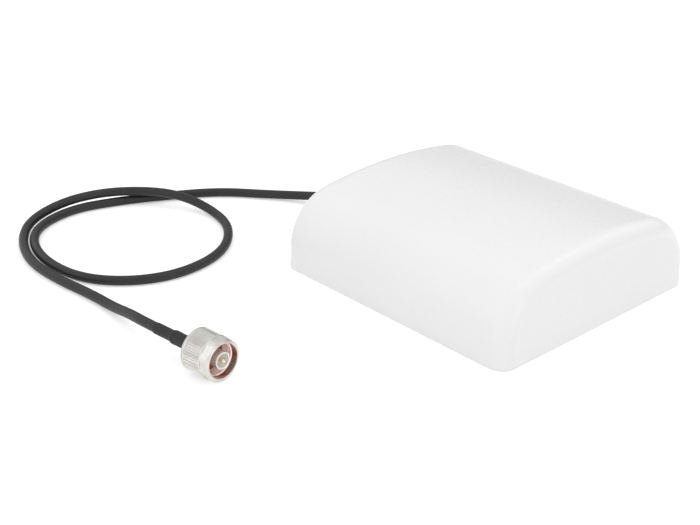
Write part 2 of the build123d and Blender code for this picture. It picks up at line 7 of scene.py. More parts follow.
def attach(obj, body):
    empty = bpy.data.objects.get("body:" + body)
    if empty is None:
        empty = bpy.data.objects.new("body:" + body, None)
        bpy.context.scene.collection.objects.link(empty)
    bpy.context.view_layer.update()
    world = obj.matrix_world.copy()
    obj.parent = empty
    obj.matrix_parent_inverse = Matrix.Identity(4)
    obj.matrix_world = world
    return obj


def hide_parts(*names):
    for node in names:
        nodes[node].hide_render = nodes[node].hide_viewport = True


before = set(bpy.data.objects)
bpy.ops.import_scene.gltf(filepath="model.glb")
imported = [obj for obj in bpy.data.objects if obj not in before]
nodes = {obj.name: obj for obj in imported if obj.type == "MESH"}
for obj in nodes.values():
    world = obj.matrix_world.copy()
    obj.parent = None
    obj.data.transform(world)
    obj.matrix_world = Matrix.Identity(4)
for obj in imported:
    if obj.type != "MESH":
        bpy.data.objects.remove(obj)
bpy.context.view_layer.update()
scene = bpy.context.scene


# Camera: a long lens above the plug's side of the antenna, standing where the panel's outline in
# the photograph puts it.
camera_place = Vector((0.40583, -0.45924, 0.30049))
camera_aim = Vector((-0.05515, -0.04132, 0.0))
camera_data = bpy.data.cameras.new("camera")
camera_data.lens = 68.11
camera_data.sensor_width = 36.0
camera = bpy.data.objects.new("camera", camera_data)
camera.rotation_mode = "QUATERNION"
camera.rotation_quaternion = (camera_aim - camera_place).to_track_quat("-Z", "Y")
camera.location = camera_place
scene.collection.objects.link(camera)
scene.camera = camera


# Cable: 5 mm coaxial cable in an extruded black jacket. It leaves the end wall, lies in one loop on
# the table, passes over itself and runs straight into the plug's ferrule.
cable_radius = 0.0025
plug_yaw = math.radians(5.5)
plug_front = Vector((-0.003, -0.163, 0.01025))
ferrule_rear = -0.0325
straight_lead = 0.0205
jacket_colours = ((0.0105, 0.0105, 0.011), (0.017, 0.0168, 0.0165))


def on_plug_axis(s):
    """The point s metres in front of the nut's front rim."""
    return plug_front + s * Vector((math.cos(plug_yaw), math.sin(plug_yaw), 0.0))


cable_route = [
    (-0.07445, 0.0, 0.0115),
    (-0.094, 0.0, 0.0115),
    (-0.1135, -0.002, 0.008),
    (-0.131, -0.006, 0.004),
    (-0.152, -0.020, 0.0025),
    (-0.173, -0.0375, 0.0025),
    (-0.188, -0.063, 0.0025),
    (-0.201, -0.090, 0.0025),
    (-0.208, -0.115, 0.0025),
    (-0.200, -0.141, 0.0025),
    (-0.181, -0.1555, 0.0025),
    (-0.154, -0.1613, 0.0025),
    (-0.127, -0.157, 0.0025),
    (-0.1075, -0.1395, 0.0025),
    (-0.099, -0.115, 0.0025),
    (-0.1055, -0.085, 0.0025),
    (-0.128, -0.0635, 0.0025),
    (-0.154, -0.0565, 0.0026),
    (-0.1735, -0.0645, 0.008),
    (-0.192, -0.076, 0.0081),
    (-0.2065, -0.095, 0.0078),
    (-0.2115, -0.118, 0.0069),
    (-0.207, -0.142, 0.004),
    (-0.189, -0.1575, 0.0025),
    (-0.163, -0.167, 0.0025),
    (-0.136, -0.167, 0.0025),
    (-0.110, -0.1635, 0.0025),
    (-0.090, -0.1635, 0.0032),
    (-0.0725, -0.1655, 0.0072),
    tuple(on_plug_axis(ferrule_rear - straight_lead)),
    tuple(on_plug_axis(ferrule_rear)),
]
cable_line = bpy.data.curves.new("coaxial_cable", "CURVE")
cable_line.dimensions = "3D"
cable_line.bevel_depth = cable_radius
cable_line.bevel_resolution = 7
cable_line.resolution_u = 12
cable_line.use_fill_caps = True
cable_spline = cable_line.splines.new("NURBS")
cable_spline.points.add(len(cable_route) - 1)
for control, place in zip(cable_spline.points, cable_route):
    control.co = (*place, 1.0)
cable_spline.order_u = 3
cable_spline.use_endpoint_u = True
coaxial_cable = bpy.data.objects.new("coaxial_cable", cable_line)
scene.collection.objects.link(coaxial_cable)


def shader(tree, kind, inputs=None, **settings):
    """Adds a node, with a value or a link for each of the inputs that are given."""
    made = tree.nodes.new(kind)
    for key, value in settings.items():
        setattr(made, key, value)
    for key, value in (inputs or {}).items():
        if isinstance(value, bpy.types.NodeSocket):
            tree.links.new(value, made.inputs[key])
        else:
            made.inputs[key].default_value = value
    return made


def effect_group(name, inputs, outputs):
    """An empty shader group with named sockets. Each input is a name, a type and a value."""
    group = bpy.data.node_groups.new(name, "ShaderNodeTree")
    for label, kind, value in inputs:
        socket = group.interface.new_socket(label, in_out="INPUT", socket_type=kind)
        if value is not None:
            socket.default_value = value
    for label, kind in outputs:
        group.interface.new_socket(label, in_out="OUTPUT", socket_type=kind)
    return group, group.nodes.new("NodeGroupInput"), group.nodes.new("NodeGroupOutput")


def put_out(group, ending, sources):
    """Links each source to the group's output of that name."""
    for label, source in sources.items():
        group.links.new(source, ending.inputs[label])


surface_grain, grain_in, grain_out = effect_group(
    "surface_grain",
    [
        ("Grains per Metre", "NodeSocketFloat", 2000.0),
        ("Grain Depth", "NodeSocketFloat", 0.00001),
        ("Patches per Metre", "NodeSocketFloat", 40.0),
    ],
    [("Normal", "NodeSocketVector"), ("Grain", "NodeSocketFloat"), ("Patches", "NodeSocketFloat")],
)
grain_place = shader(surface_grain, "ShaderNodeTexCoord")
grain_noise = shader(surface_grain, "ShaderNodeTexNoise", {
    "Vector": grain_place.outputs["Object"],
    "Scale": grain_in.outputs["Grains per Metre"],
    "Detail": 3.0,
    "Roughness": 0.6,
})
patch_noise = shader(surface_grain, "ShaderNodeTexNoise", {
    "Vector": grain_place.outputs["Object"],
    "Scale": grain_in.outputs["Patches per Metre"],
    "Detail": 4.0,
    "Roughness": 0.55,
})
grain_bump = shader(surface_grain, "ShaderNodeBump", {
    "Height": grain_noise.outputs["Fac"],
    "Distance": grain_in.outputs["Grain Depth"],
})
put_out(surface_grain, grain_out, {
    "Normal": grain_bump.outputs["Normal"],
    "Grain": grain_noise.outputs["Fac"],
    "Patches": patch_noise.outputs["Fac"],
})


def new_finish(name):
    """A material, its tree and its surface shader, which is still to be fed."""
    finish = bpy.data.materials.new(name)
    finish.use_nodes = True
    return finish, finish.node_tree, finish.node_tree.nodes["Principled BSDF"]


def feed(tree, surface, patterns, plain):
    """Links patterns to the surface shader, and sets what is the same all over the surface."""
    for label, source in patterns.items():
        tree.links.new(source, surface.inputs[label])
    for label, value in plain.items():
        surface.inputs[label].default_value = value


def between(tree, amount, first, second, low=0.35, high=0.65):
    """A colour or a number that goes from first to second as a pattern goes from low to high."""
    if isinstance(first, tuple):
        share = shader(tree, "ShaderNodeMapRange", {
            "Value": amount, "From Min": low, "From Max": high,
        })
        mixed = shader(tree, "ShaderNodeMix", {
            0: share.outputs["Result"], 6: (*first, 1.0), 7: (*second, 1.0),
        }, data_type="RGBA")
        return mixed.outputs[2]
    return shader(tree, "ShaderNodeMapRange", {
        "Value": amount, "From Min": low, "From Max": high, "To Min": first, "To Max": second,
    }).outputs["Result"]


def moulded(name, colours, gloss, grains, depth, patches, **plain):
    """Plastic or rubber: two near shades in soft patches, a fine grain and an uneven gloss."""
    finish, tree, surface = new_finish(name)
    grain = shader(tree, "ShaderNodeGroup", {
        "Grains per Metre": grains, "Grain Depth": depth, "Patches per Metre": patches,
    }, node_tree=surface_grain)
    feed(tree, surface, {
        "Base Color": between(tree, grain.outputs["Patches"], *colours),
        "Roughness": between(tree, grain.outputs["Grain"], *gloss),
        "Normal": grain.outputs["Normal"],
    }, {"Metallic": 0.0, **plain})
    return finish


def give(finish, *names):
    """Puts a finish on CAD nodes."""
    for name in names:
        for material_slot in nodes[name].material_slots:
            material_slot.material = finish


cable_jacket = moulded(
    "cable_jacket", jacket_colours,
    gloss=(0.42, 0.55), grains=1400, depth=0.00002, patches=60, IOR=1.45,
)
cable_line.materials.append(cable_jacket)
give(cable_jacket, "inner_cable")
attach(coaxial_cable, "antenna")
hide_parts("cable")


# Radome: one injection moulding in white weather-proof plastic, with an even wall and a fine
# spark-eroded texture. It stands on its rim, and the back cover is sunk into it.
radome_colours = ((0.835, 0.835, 0.835), (0.85, 0.85, 0.85))
radome_plastic = moulded(
    "radome_plastic", radome_colours,
    gloss=(0.25, 0.33), grains=2600, depth=0.000004, patches=14, IOR=1.42,
)
give(radome_plastic, "radome")


# Back cover: a flat moulding in the same plastic from a plainer tool, with pads and bosses round
# the threaded inserts. Six screws pull it against a rubber gasket.
cover_colours = ((0.78, 0.78, 0.775), (0.81, 0.81, 0.805))
cover_plastic = moulded(
    "cover_plastic", cover_colours,
    gloss=(0.45, 0.6), grains=1500, depth=0.00002, patches=25, IOR=1.46,
)
seal_colours = ((0.014, 0.014, 0.014), (0.026, 0.025, 0.024))
seal_rubber = moulded(
    "seal_rubber", seal_colours, gloss=(0.6, 0.8), grains=900, depth=0.00004, patches=120, IOR=1.45
)
give(cover_plastic, "back_cover")
give(seal_rubber, "cover_gasket", "cable_grommet")


# Screws: zinc-plated steel with pressed cross recesses, for the cover, the reflector and the clamp.
# The plating is a little cloudy, and its gloss is uneven.
metal_wear, wear_in, wear_out = effect_group(
    "metal_wear",
    [
        ("Vector", "NodeSocketVector", None),
        ("Scratches per Metre", "NodeSocketFloat", 900.0),
        ("Scratch Depth", "NodeSocketFloat", 0.000004),
        ("Clouds per Metre", "NodeSocketFloat", 160.0),
    ],
    [("Normal", "NodeSocketVector"), ("Clouds", "NodeSocketFloat"), ("Specks", "NodeSocketFloat")],
)
scratch_noise = shader(metal_wear, "ShaderNodeTexNoise", {
    "Vector": wear_in.outputs["Vector"],
    "Scale": wear_in.outputs["Scratches per Metre"],
    "Detail": 5.0,
    "Roughness": 0.7,
})
cloud_noise = shader(metal_wear, "ShaderNodeTexNoise", {
    "Vector": wear_in.outputs["Vector"],
    "Scale": wear_in.outputs["Clouds per Metre"],
    "Detail": 3.0,
    "Distortion": 0.4,
})
wear_bump = shader(metal_wear, "ShaderNodeBump", {
    "Height": scratch_noise.outputs["Fac"],
    "Distance": wear_in.outputs["Scratch Depth"],
})
put_out(metal_wear, wear_out, {
    "Normal": wear_bump.outputs["Normal"],
    "Clouds": cloud_noise.outputs["Fac"],
    "Specks": scratch_noise.outputs["Fac"],
})


def metal(name, colours, gloss, scratches, depth, clouds, stretch=(1.0, 1.0, 1.0)):
    """Bare or plated metal: cloudy colour, uneven gloss and fine marks, drawn out if stretched."""
    finish, tree, surface = new_finish(name)
    place = shader(tree, "ShaderNodeTexCoord")
    turn = shader(tree, "ShaderNodeMapping", {
        "Vector": place.outputs["Object"], "Scale": stretch,
    })
    wear = shader(tree, "ShaderNodeGroup", {
        "Vector": turn.outputs["Vector"],
        "Scratches per Metre": scratches,
        "Scratch Depth": depth,
        "Clouds per Metre": clouds,
    }, node_tree=metal_wear)
    feed(tree, surface, {
        "Base Color": between(tree, wear.outputs["Clouds"], *colours),
        "Roughness": between(tree, wear.outputs["Specks"], *gloss),
        "Normal": wear.outputs["Normal"],
    }, {"Metallic": 1.0})
    return finish


zinc_colours = ((0.56, 0.57, 0.58), (0.66, 0.66, 0.64))
fixing_steel = metal(
    "fixing_steel", zinc_colours, gloss=(0.28, 0.42), scratches=2200, depth=0.000006, clouds=300
)
give(fixing_steel, "cover_screws", "reflector_screws", "cable_clamp_screws")


# Antenna inside: a folded aluminium reflector, a driven plate and a director on nylon standoffs,
# fed by a pin through a white bush. The rolled sheet shows its rolling direction along X.
sheet_colours = ((0.74, 0.75, 0.76), (0.8, 0.81, 0.82))
rolled_along_x = (0.06, 1.0, 1.0)
sheet_aluminium = metal(
    "sheet_aluminium", sheet_colours,
    gloss=(0.3, 0.45), scratches=1500, depth=0.000004, clouds=60, stretch=rolled_along_x,
)
give(sheet_aluminium, "reflector", "driven_patch", "director_patch")
nylon_colours = ((0.72, 0.69, 0.6), (0.8, 0.78, 0.7))
nylon = moulded(
    "nylon", nylon_colours, gloss=(0.38, 0.5), grains=900, depth=0.00001, patches=80, IOR=1.53
)
give(nylon, "lower_standoffs", "upper_standoffs", "standoff_screws", "director_screws")
give(nylon, "cable_clamp")
ptfe_colours = ((0.92, 0.91, 0.89), (0.95, 0.945, 0.93))
ptfe = moulded(
    "ptfe", ptfe_colours, gloss=(0.4, 0.52), grains=1600, depth=0.000008, patches=200, IOR=1.35
)
give(ptfe, "feed_bush", "plug_insulator", "feed_dielectric", "cable_end_dielectric")
brass_colours = ((0.7, 0.5, 0.22), (0.8, 0.6, 0.3))
machined_brass = metal(
    "machined_brass", brass_colours, gloss=(0.24, 0.4), scratches=2600, depth=0.000006, clouds=220
)
give(machined_brass, "feed_pin", "ground_strap", "strap_rivets")
copper_colours = ((0.78, 0.42, 0.28), (0.86, 0.52, 0.36))
bare_copper = metal(
    "bare_copper", copper_colours, gloss=(0.22, 0.34), scratches=3000, depth=0.000003, clouds=400
)
give(bare_copper, "feed_conductor", "cable_end_conductor")


# Braid: fine tinned copper wires in crossing bundles, bare where the jacket is stripped at the feed
# and under the plug's ferrule. The bundles show as a small diamond pattern.
bundle_scale = 300.0
bundle_lean = 45.0
wire_relief = 0.0001
# The colour darkens from the tinned crowns into the grooves between bundles: painted shade.
braid_tin_and_groove_shade = ((0.3, 0.29, 0.27), (0.72, 0.7, 0.67))
braid_gloss = (0.5, 0.3)
groove_to_crown = (0.2, 0.9)
tinned_braid, braid_tree, braid_surface = new_finish("tinned_braid")
braid_place = shader(braid_tree, "ShaderNodeTexCoord")
braid_height = None
for lean in (bundle_lean, -bundle_lean):
    leaning = shader(braid_tree, "ShaderNodeMapping", {
        "Vector": braid_place.outputs["Object"],
        "Rotation": (0.0, math.radians(lean), math.radians(lean)),
    })
    bundle = shader(braid_tree, "ShaderNodeTexWave", {
        "Vector": leaning.outputs["Vector"],
        "Scale": bundle_scale,
        "Distortion": 0.3,
    })
    if braid_height is None:
        braid_height = bundle.outputs["Fac"]
    else:
        braid_height = shader(braid_tree, "ShaderNodeMath", {
            0: braid_height, 1: bundle.outputs["Fac"],
        }, operation="MAXIMUM").outputs["Value"]
braid_bump = shader(braid_tree, "ShaderNodeBump", {
    "Height": braid_height, "Distance": wire_relief,
})
feed(braid_tree, braid_surface, {
    "Base Color": between(braid_tree, braid_height, *braid_tin_and_groove_shade, *groove_to_crown),
    "Roughness": between(braid_tree, braid_height, *braid_gloss, *groove_to_crown),
    "Normal": braid_bump.outputs["Normal"],
}, {"Metallic": 1.0})
give(tinned_braid, "feed_braid", "cable_end_braid")


# Threaded inserts: turned brass sleeves with a flange, pressed into the cover's pads on a 60 mm
# square, with an M6 thread for the bracket's screws.
bracket_square = 0.06
insert_wall = 0.0045
insert_flange = 0.0055
insert_flange_height = 0.0012
insert_length = 0.009
insert_bore = 0.003
insert_chamfer = 0.0004
flange_chamfer = 0.0002
insert_crest = 0.0025
insert_pitch = 0.001
insert_turns = 8.2
insert_thread_start = 0.0005
insert_sides = 48


def add_mesh(name, vertices, faces, crease=30.0):
    """A mesh object at the origin, smooth but for edges sharper than crease degrees."""
    mesh = bpy.data.meshes.new(name)
    mesh.from_pydata([tuple(v) for v in vertices], [], faces)
    mesh.validate()
    mesh.shade_smooth()
    mesh.set_sharp_from_angle(angle=math.radians(crease))
    made = bpy.data.objects.new(name, mesh)
    scene.collection.objects.link(made)
    return made


def rings_to_mesh(name, rings, crease=30.0):
    """Joins closed rings of as many points each into a closed skin, the last ring to the first."""
    count = len(rings[0])
    faces = []
    for i in range(len(rings)):
        below, above = i * count, (i + 1) % len(rings) * count
        for j in range(count):
            k = (j + 1) % count
            faces.append((below + j, below + k, above + k, above + j))
    return add_mesh(name, [p for ring in rings for p in ring], faces, crease)


def ring(radius, height, count):
    """A round ring about Z."""
    angles = [2 * math.pi * i / count for i in range(count)]
    return [Vector((radius * math.cos(a), radius * math.sin(a), height)) for a in angles]


def tree_of(name, *inputs):
    """An empty Geometry Nodes tree with a geometry socket each way and the named inputs."""
    tree = bpy.data.node_groups.new(name, "GeometryNodeTree")
    tree.interface.new_socket("Geometry", in_out="INPUT", socket_type="NodeSocketGeometry")
    for label, kind, value in inputs:
        socket = tree.interface.new_socket(label, in_out="INPUT", socket_type=kind)
        if value is not None:
            socket.default_value = value
    tree.interface.new_socket("Geometry", in_out="OUTPUT", socket_type="NodeSocketGeometry")
    return tree, tree.nodes.new("NodeGroupInput").outputs, tree.nodes.new("NodeGroupOutput")


def end_tree(tree, geometry, given, output):
    """Makes a tree's instances real and gives them their material."""
    real = shader(tree, "GeometryNodeRealizeInstances", {"Geometry": geometry})
    painted = shader(tree, "GeometryNodeSetMaterial", {
        "Geometry": real.outputs["Geometry"], "Material": given["Material"],
    })
    tree.links.new(painted.outputs["Geometry"], output.inputs["Geometry"])


def grow(name, tree, base=None, **values):
    """Runs a tree on a base mesh with the values given by socket name, and keeps a plain mesh."""
    start = base or add_mesh(name + "_start", [(0.0, 0.0, 0.0)], [])
    modifier = start.modifiers.new("tree", "NODES")
    modifier.node_group = tree
    for item in tree.interface.items_tree:
        if item.item_type == "SOCKET" and item.in_out == "INPUT":
            label = item.name.lower().replace(" ", "_")
            if label in values:
                modifier[item.identifier] = values[label]
    start.update_tag()
    evaluated = start.evaluated_get(bpy.context.evaluated_depsgraph_get())
    mesh = bpy.data.meshes.new_from_object(evaluated)
    mesh.name = name
    start.modifiers.clear()
    old = start.data
    bpy.data.objects.remove(start)
    bpy.data.meshes.remove(old)
    made = bpy.data.objects.new(name, mesh)
    scene.collection.objects.link(made)
    return made


def joined(name, pieces, place=Matrix.Identity(4)):
    """One object from several, with a placement written into its mesh."""
    with bpy.context.temp_override(
        active_object=pieces[0], selected_objects=pieces, selected_editable_objects=pieces
    ):
        bpy.ops.object.join()
    whole = pieces[0]
    whole.name = whole.data.name = name
    whole.data.transform(place)
    whole.data.update()
    return whole


thread_tree, given, output = tree_of(
    "inside_thread",
    ("Turns", "NodeSocketFloat", 6.0),
    ("Pitch", "NodeSocketFloat", 0.001),
    ("Wall Radius", "NodeSocketFloat", 0.003),
    ("Crest Radius", "NodeSocketFloat", 0.0025),
    ("Start", "NodeSocketFloat", 0.0),
    ("Steps per Turn", "NodeSocketInt", 64),
    ("Material", "NodeSocketMaterial", None),
)
thread_height = shader(thread_tree, "ShaderNodeMath", {
    0: given["Turns"], 1: given["Pitch"],
}, operation="MULTIPLY")
thread_line = shader(thread_tree, "GeometryNodeCurveSpiral", {
    "Resolution": given["Steps per Turn"],
    "Rotations": given["Turns"],
    "Start Radius": given["Wall Radius"],
    "End Radius": given["Wall Radius"],
    "Height": thread_height.outputs["Value"],
})
thread_upright = shader(thread_tree, "GeometryNodeSetCurveNormal", {
    "Curve": thread_line.outputs["Curve"],
}, mode="Z_UP")
thread_depth = shader(thread_tree, "ShaderNodeMath", {
    0: given["Wall Radius"], 1: given["Crest Radius"],
}, operation="SUBTRACT")
thread_outline = ((-0.12, -0.44), (-0.12, 0.44), (1.0, 0.07), (1.0, -0.07))
thread_corners = []
for depth_share, pitch_share in thread_outline:
    inwards = shader(thread_tree, "ShaderNodeMath", {
        0: thread_depth.outputs["Value"], 1: depth_share,
    }, operation="MULTIPLY")
    along = shader(thread_tree, "ShaderNodeMath", {
        0: given["Pitch"], 1: pitch_share,
    }, operation="MULTIPLY")
    thread_corners.append(shader(thread_tree, "ShaderNodeCombineXYZ", {
        "X": inwards.outputs["Value"], "Y": along.outputs["Value"],
    }).outputs["Vector"])
thread_profile = shader(thread_tree, "GeometryNodeCurvePrimitiveQuadrilateral", {
    f"Point {i + 1}": corner for i, corner in enumerate(thread_corners)
}, mode="POINTS")
thread_ridge = shader(thread_tree, "GeometryNodeCurveToMesh", {
    "Curve": thread_upright.outputs["Curve"],
    "Profile Curve": thread_profile.outputs["Curve"],
    "Fill Caps": True,
})
thread_offset = shader(thread_tree, "ShaderNodeCombineXYZ", {"Z": given["Start"]})
thread_placed = shader(thread_tree, "GeometryNodeTransform", {
    "Geometry": thread_ridge.outputs["Mesh"], "Translation": thread_offset.outputs["Vector"],
})
end_tree(thread_tree, thread_placed.outputs["Geometry"], given, output)

square_tree, given, output = tree_of(
    "four_on_a_square",
    ("Spacing", "NodeSocketFloat", 0.06),
    ("Material", "NodeSocketMaterial", None),
)
square_points = shader(square_tree, "GeometryNodeMeshGrid", {
    "Size X": given["Spacing"], "Size Y": given["Spacing"], "Vertices X": 2, "Vertices Y": 2,
})
square_copies = shader(square_tree, "GeometryNodeInstanceOnPoints", {
    "Points": square_points.outputs["Mesh"], "Instance": given["Geometry"],
})
end_tree(square_tree, square_copies.outputs["Instances"], given, output)

insert_section = [
    (insert_bore + insert_chamfer, 0.0),
    (insert_flange - flange_chamfer, 0.0),
    (insert_flange, flange_chamfer),
    (insert_flange, insert_flange_height),
    (insert_wall, insert_flange_height),
    (insert_wall, insert_length),
    (insert_bore, insert_length),
    (insert_bore, insert_chamfer),
]
insert_body = rings_to_mesh("insert_body", [
    ring(r, z, insert_sides) for r, z in insert_section
])
insert_thread = grow(
    "insert_thread", thread_tree, turns=insert_turns, pitch=insert_pitch,
    wall_radius=insert_bore, crest_radius=insert_crest, start=insert_thread_start,
    steps_per_turn=40, material=machined_brass,
)
one_insert = joined("one_insert", [insert_body, insert_thread])
threaded_inserts = grow(
    "threaded_inserts", square_tree, one_insert, spacing=bracket_square, material=machined_brass
)
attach(threaded_inserts, "antenna")
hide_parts("bracket_inserts")


# Heat-shrink sleeve: thin black tube shrunk over the crimped ferrule and down on to the cable. It
# follows the crimp's six flats softly, and its rear cut end isn't quite true.
sleeve_front = -0.0177
sleeve_rear = -0.0447
sleeve_wall = 0.0003
sleeve_sides = 96
sleeve_steps = 90
sleeve_over_ferrule = 0.0034
sleeve_inner_step = 0.0015
swell_from = -0.0341
swell_to = -0.0321
ferrule_radius = 0.0031
crimp_front = -0.0204
crimp_rear = -0.0305
crimp_flats = 6
crimp_depth = 0.00022
crimp_ease = 0.0008
sleeve_ripple = 0.00003
ripples_per_metre = 420
cut_unevenness = 0.00018
sleeve_colours = ((0.0085, 0.0085, 0.009), (0.0125, 0.0122, 0.012))
plug_place = Matrix.LocRotScale(
    plug_front,
    Matrix((
        (-math.sin(plug_yaw), 0.0, math.cos(plug_yaw)),
        (math.cos(plug_yaw), 0.0, math.sin(plug_yaw)),
        (0.0, 1.0, 0.0),
    )),
    None,
)


def eased(value, low, high):
    """0 below low, 1 above high and a smooth slope between."""
    t = min(max((value - low) / (high - low), 0.0), 1.0)
    return t * t * (3 - 2 * t)


def sleeve_skin(s, angle):
    """The sleeve's outer radius at a place along the plug's axis."""
    over_cable = cable_radius + sleeve_wall
    swell = eased(s, swell_from, swell_to)
    r = over_cable + (sleeve_over_ferrule - over_cable) * swell
    crimp = eased(s, crimp_rear - crimp_ease, crimp_rear + crimp_ease)
    crimp *= 1 - eased(s, crimp_front - crimp_ease, crimp_front + crimp_ease)
    r -= crimp * crimp_depth * (0.5 + 0.5 * math.cos(crimp_flats * angle))
    spot = Vector((s * ripples_per_metre, 3 * math.cos(angle), 3 * math.sin(angle)))
    return r - sleeve_ripple * (1 + noise.noise(spot))


sleeve_rings = []
for i in range(sleeve_steps + 1):
    s = sleeve_front + (sleeve_rear - sleeve_front) * i / sleeve_steps
    points = []
    for j in range(sleeve_sides):
        angle = 2 * math.pi * j / sleeve_sides
        across, up = math.cos(angle), math.sin(angle)
        r = sleeve_skin(s, angle)
        end = s
        if i == sleeve_steps:
            end -= cut_unevenness * noise.noise(Vector((8.0, across, up)))
        points.append(Vector((r * across, r * up, end)))
    sleeve_rings.append(points)
inner_section = [
    (cable_radius, sleeve_rear),
    (cable_radius, ferrule_rear - sleeve_inner_step),
    (ferrule_radius, ferrule_rear),
    (ferrule_radius, sleeve_front),
]
sleeve_rings += [ring(r, s, sleeve_sides) for r, s in inner_section]
shrink_sleeve = rings_to_mesh("shrink_sleeve", [list(reversed(points)) for points in sleeve_rings])
shrink_sleeve.data.transform(plug_place)
heat_shrink = moulded(
    "heat_shrink", sleeve_colours,
    gloss=(0.5, 0.66), grains=1700, depth=0.00002, patches=150, IOR=1.45,
)
shrink_sleeve.data.materials.append(heat_shrink)
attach(shrink_sleeve, "antenna")
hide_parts("heat_shrink_sleeve")


# Plug: a turned brass body, nickel-plated outside, with a frosted silver contact, a gold-plated pin
# in a white insulator and a red-brown gasket. The lathe's rings show through the plating.
turning_marks, marks_in, marks_out = effect_group(
    "turning_marks",
    [
        ("Vector", "NodeSocketVector", None),
        ("Rings per Metre", "NodeSocketFloat", 6000.0),
        ("Ring Depth", "NodeSocketFloat", 0.000002),
    ],
    [
        ("Normal", "NodeSocketVector"), ("Rings", "NodeSocketFloat"),
        ("Clouds", "NodeSocketFloat"), ("Radius", "NodeSocketFloat"),
    ],
)
marks_split = shader(turning_marks, "ShaderNodeSeparateXYZ", {"Vector": marks_in.outputs["Vector"]})
marks_across = shader(turning_marks, "ShaderNodeCombineXYZ", {
    "X": marks_split.outputs["Y"], "Y": marks_split.outputs["Z"],
})
marks_radius = shader(turning_marks, "ShaderNodeVectorMath", {
    0: marks_across.outputs["Vector"],
}, operation="LENGTH")
marks_plane = shader(turning_marks, "ShaderNodeCombineXYZ", {
    "X": marks_split.outputs["X"], "Y": marks_radius.outputs["Value"],
})
marks_noise = shader(turning_marks, "ShaderNodeTexNoise", {
    "Vector": marks_plane.outputs["Vector"],
    "Scale": marks_in.outputs["Rings per Metre"],
    "Detail": 2.0,
})
marks_clouds = shader(turning_marks, "ShaderNodeTexNoise", {
    "Vector": marks_in.outputs["Vector"], "Scale": 260.0, "Detail": 4.0,
})
marks_bump = shader(turning_marks, "ShaderNodeBump", {
    "Height": marks_noise.outputs["Fac"], "Distance": marks_in.outputs["Ring Depth"],
})
put_out(turning_marks, marks_out, {
    "Normal": marks_bump.outputs["Normal"],
    "Rings": marks_noise.outputs["Fac"],
    "Clouds": marks_clouds.outputs["Fac"],
    "Radius": marks_radius.outputs["Value"],
})


def turned_metal(name, colours, gloss, rings, depth):
    """Plated metal with the lathe's rings about the plug's axis."""
    finish, tree, surface = new_finish(name)
    place = shader(tree, "ShaderNodeTexCoord")
    local = shader(tree, "ShaderNodeMapping", {
        "Vector": place.outputs["Object"],
        "Location": tuple(plug_front),
        "Rotation": (0.0, 0.0, plug_yaw),
    }, vector_type="TEXTURE")
    marks = shader(tree, "ShaderNodeGroup", {
        "Vector": local.outputs["Vector"], "Rings per Metre": rings, "Ring Depth": depth,
    }, node_tree=turning_marks)
    feed(tree, surface, {
        "Base Color": between(tree, marks.outputs["Clouds"], *colours),
        "Roughness": between(tree, marks.outputs["Rings"], *gloss),
        "Normal": marks.outputs["Normal"],
    }, {"Metallic": 1.0})
    return finish


def by_radius(finish, inner, outer, at_inner, at_outer):
    """A number that changes with the distance from the plug's axis, for a turned finish."""
    tree = finish.node_tree
    marks = next(n for n in tree.nodes if n.bl_idname == "ShaderNodeGroup")
    return between(tree, marks.outputs["Radius"], at_inner, at_outer, inner, outer)


def shade_by_radius(finish, inner, outer, at_inner, at_outer):
    """Multiplies a turned finish's colour by a number that changes with the radius: the contact's
    own nickel tone, and painted shade in the knurl's grooves.
    """
    tree = finish.node_tree
    colour = tree.nodes["Principled BSDF"].inputs["Base Color"]
    shaded = shader(tree, "ShaderNodeMix", {
        0: 1.0,
        6: colour.links[0].from_socket,
        7: by_radius(finish, inner, outer, at_inner, at_outer),
    }, data_type="RGBA", blend_type="MULTIPLY")
    tree.links.new(shaded.outputs[2], colour)


nickel_colours = ((0.61, 0.595, 0.565), (0.68, 0.665, 0.64))
nickel_plate = turned_metal(
    "nickel_plate", nickel_colours, gloss=(0.22, 0.34), rings=9000, depth=0.000003
)
give(nickel_plate, "crimp_ferrule")
contact_colours = ((0.88, 0.87, 0.84), (0.92, 0.91, 0.885))
contact_bore = 0.0036
contact_outside = 0.0039
silver_metallic = 0.3
silver_to = 0.0042
nickel_from = 0.0046
nickel_shade = 0.74
contact_plate = turned_metal(
    "contact_plate", contact_colours, gloss=(0.2, 0.3), rings=9000, depth=0.000003
)
contact_tree = contact_plate.node_tree
contact_tree.links.new(
    by_radius(contact_plate, contact_bore, contact_outside, silver_metallic, 1.0),
    contact_tree.nodes["Principled BSDF"].inputs["Metallic"],
)
shade_by_radius(contact_plate, silver_to, nickel_from, 1.0, nickel_shade)
give(contact_plate, "plug_body")
gold_colours = ((0.87, 0.75, 0.48), (0.91, 0.81, 0.56))
gold_plate = turned_metal(
    "gold_plate", gold_colours, gloss=(0.42, 0.54), rings=9000, depth=0.000001
)
give(gold_plate, "centre_pin")
bronze_colours = ((0.6, 0.48, 0.3), (0.68, 0.56, 0.38))
spring_bronze = turned_metal(
    "spring_bronze", bronze_colours, gloss=(0.25, 0.36), rings=5000, depth=0.000002
)
give(spring_bronze, "retaining_ring")
silicone_colours = ((0.44, 0.058, 0.04), (0.5, 0.078, 0.052))
plug_silicone = moulded(
    "plug_silicone", silicone_colours,
    gloss=(0.4, 0.55), grains=2000, depth=0.00001, patches=300, IOR=1.42,
)
give(plug_silicone, "plug_gasket")


